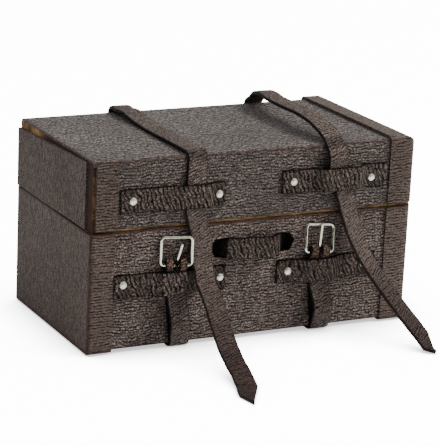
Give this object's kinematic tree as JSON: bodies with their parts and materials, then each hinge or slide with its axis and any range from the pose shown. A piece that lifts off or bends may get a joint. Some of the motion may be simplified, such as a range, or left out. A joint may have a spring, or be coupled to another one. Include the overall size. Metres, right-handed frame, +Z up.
{
  "type": "leather suitcase",
  "caption": "Small leather-covered travelling case: a box base with a hinged lid, end bands, full belts held by riveted keepers, wire buckles and a loose strap handle.",
  "frame": {"origin": "on the floor, at the middle of the right belt's underside, on which the case rests; this is midway between the front and back of the main cover and 12.95 mm to the right of the middle of the case", "axes": "+Z up, +X to the right of someone who faces the buckles, -Y out of the front"},
  "size_m": [0.0617, 0.0612, 0.0365],
  "materials": {
    "board": "matt",
    "cover_leather": "grained, satin",
    "end_leather": "grained, satin",
    "strap_leather": "grained, satin",
    "loop_leather": "wrinkled, satin",
    "lining": "matt",
    "metal": "polished"
  },
  "bodies": {
    "base": {"base_bottom_board": "board", "base_front_board": "board", "base_back_board": "board", "base_left_board": "board", "base_right_board": "board", "base_cover": "cover_leather", "base_left_cap": "end_leather", "base_right_cap": "end_leather", "base_lining": "lining", "handle": "strap_leather", "base_left_keeper": "strap_leather", "base_right_keeper": "strap_leather", "base_left_rivets": "metal", "base_right_rivets": "metal", "left_lower_belt": "strap_leather", "right_lower_belt": "strap_leather", "left_chape": "loop_leather", "right_chape": "loop_leather"},
    "lid": {"lid_top_board": "board", "lid_front_board": "board", "lid_back_board": "board", "lid_left_board": "board", "lid_right_board": "board", "lid_cover": "cover_leather", "lid_left_panel": "end_leather", "lid_left_bands": "end_leather", "lid_right_cap": "end_leather", "lid_lining": "lining", "lid_left_keeper": "strap_leather", "lid_right_keeper": "strap_leather", "lid_left_rivets": "metal", "lid_right_rivets": "metal", "left_upper_belt": "strap_leather", "right_upper_belt": "strap_leather"},
    "left_tail": {"left_tail": "strap_leather"},
    "right_tail": {"right_tail": "strap_leather"},
    "left_buckle": {"left_buckle": "metal"},
    "right_buckle": {"right_buckle": "metal"},
    "left_prong": {"left_prong": "metal"},
    "right_prong": {"right_prong": "metal"}
  },
  "joints": [
    {"name": "lid_hinge", "type": "hinge", "parent": "base", "child": "lid", "pos_m": [-0.0136, 0.016, 0.02098], "axis": [-1, 0, 0], "range_deg": [0, 100]},
    {"name": "left_tail_fold", "type": "hinge", "parent": "lid", "child": "left_tail", "pos_m": [-0.02485, -0.01663, 0.024], "axis": [-1, 0, 0], "range_deg": [0, 90]},
    {"name": "right_tail_fold", "type": "hinge", "parent": "lid", "child": "right_tail", "pos_m": [0.00338, -0.0169, 0.02445], "axis": [-0.9478, -0.145, -0.2839], "range_deg": [0, 90]},
    {"name": "left_buckle_bar", "type": "hinge", "parent": "base", "child": "left_buckle", "pos_m": [-0.02847, -0.0173, 0.01475], "axis": [0.9723, -0.2334, -0.0085], "range_deg": [0, 90]},
    {"name": "right_buckle_bar", "type": "hinge", "parent": "base", "child": "right_buckle", "pos_m": [-0.0014, -0.0173, 0.0145], "axis": [0.9962, 0, -0.0872], "range_deg": [0, 90]},
    {"name": "left_prong_eye", "type": "hinge", "parent": "left_buckle", "child": "left_prong", "pos_m": [-0.02847, -0.0173, 0.01475], "axis": [0.9723, -0.2334, -0.0085], "range_deg": [0, 60]},
    {"name": "right_prong_eye", "type": "hinge", "parent": "right_buckle", "child": "right_prong", "pos_m": [-0.0014, -0.0173, 0.0145], "axis": [0.9962, 0, -0.0872], "range_deg": [0, 60]}
  ]
}
